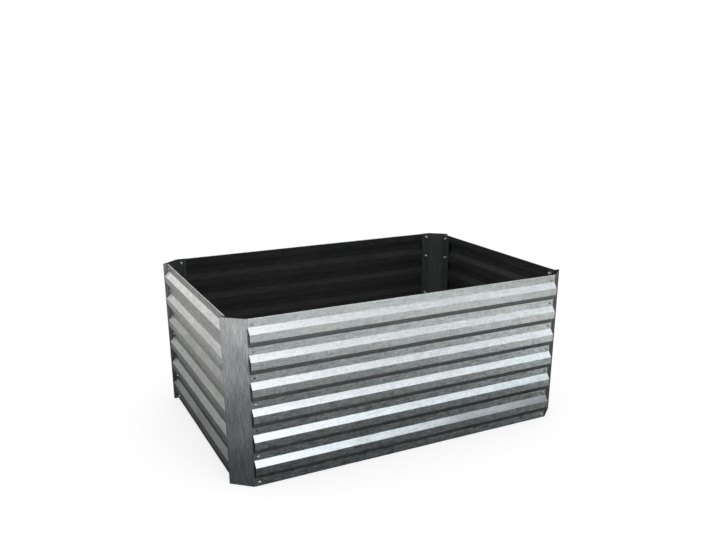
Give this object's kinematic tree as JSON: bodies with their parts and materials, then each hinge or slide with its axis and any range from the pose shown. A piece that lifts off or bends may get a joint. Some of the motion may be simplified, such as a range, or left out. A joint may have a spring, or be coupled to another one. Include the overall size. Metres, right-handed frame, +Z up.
{
  "type": "raised garden bed",
  "caption": "Rectangular raised garden bed of ribbed galvanised steel panels bolted to folded corner posts, open at the top and the bottom, with the corners cut off.",
  "frame": {"origin": "middle of the bed's footprint, on the ground", "axes": "+X along the long front, to the right seen from the front, +Y from the front to the back, +Z up"},
  "size_m": [1.0398, 0.724, 0.45],
  "materials": {
    "panel_sheet": "hot-dip galvanised sheet, rolled into trapezoid ribs, dull spangle outside and a dark grey backing coat inside",
    "post_sheet": "hot-dip galvanised sheet, folded, with fine upright drawing streaks",
    "fastener_zinc": "bright zinc plate"
  },
  "bodies": {
    "root": {"front_panel": "panel_sheet", "back_panel": "panel_sheet", "left_panel": "panel_sheet", "right_panel": "panel_sheet", "corner_post_front_left": "post_sheet", "corner_post_front_right": "post_sheet", "corner_post_back_right": "post_sheet", "corner_post_back_left": "post_sheet", "bolts_front_left": "fastener_zinc", "washers_front_left": "fastener_zinc", "nuts_front_left": "fastener_zinc", "bolts_front_right": "fastener_zinc", "washers_front_right": "fastener_zinc", "nuts_front_right": "fastener_zinc", "bolts_back_right": "fastener_zinc", "washers_back_right": "fastener_zinc", "nuts_back_right": "fastener_zinc", "bolts_back_left": "fastener_zinc", "washers_back_left": "fastener_zinc", "nuts_back_left": "fastener_zinc"}
  },
  "joints": []
}
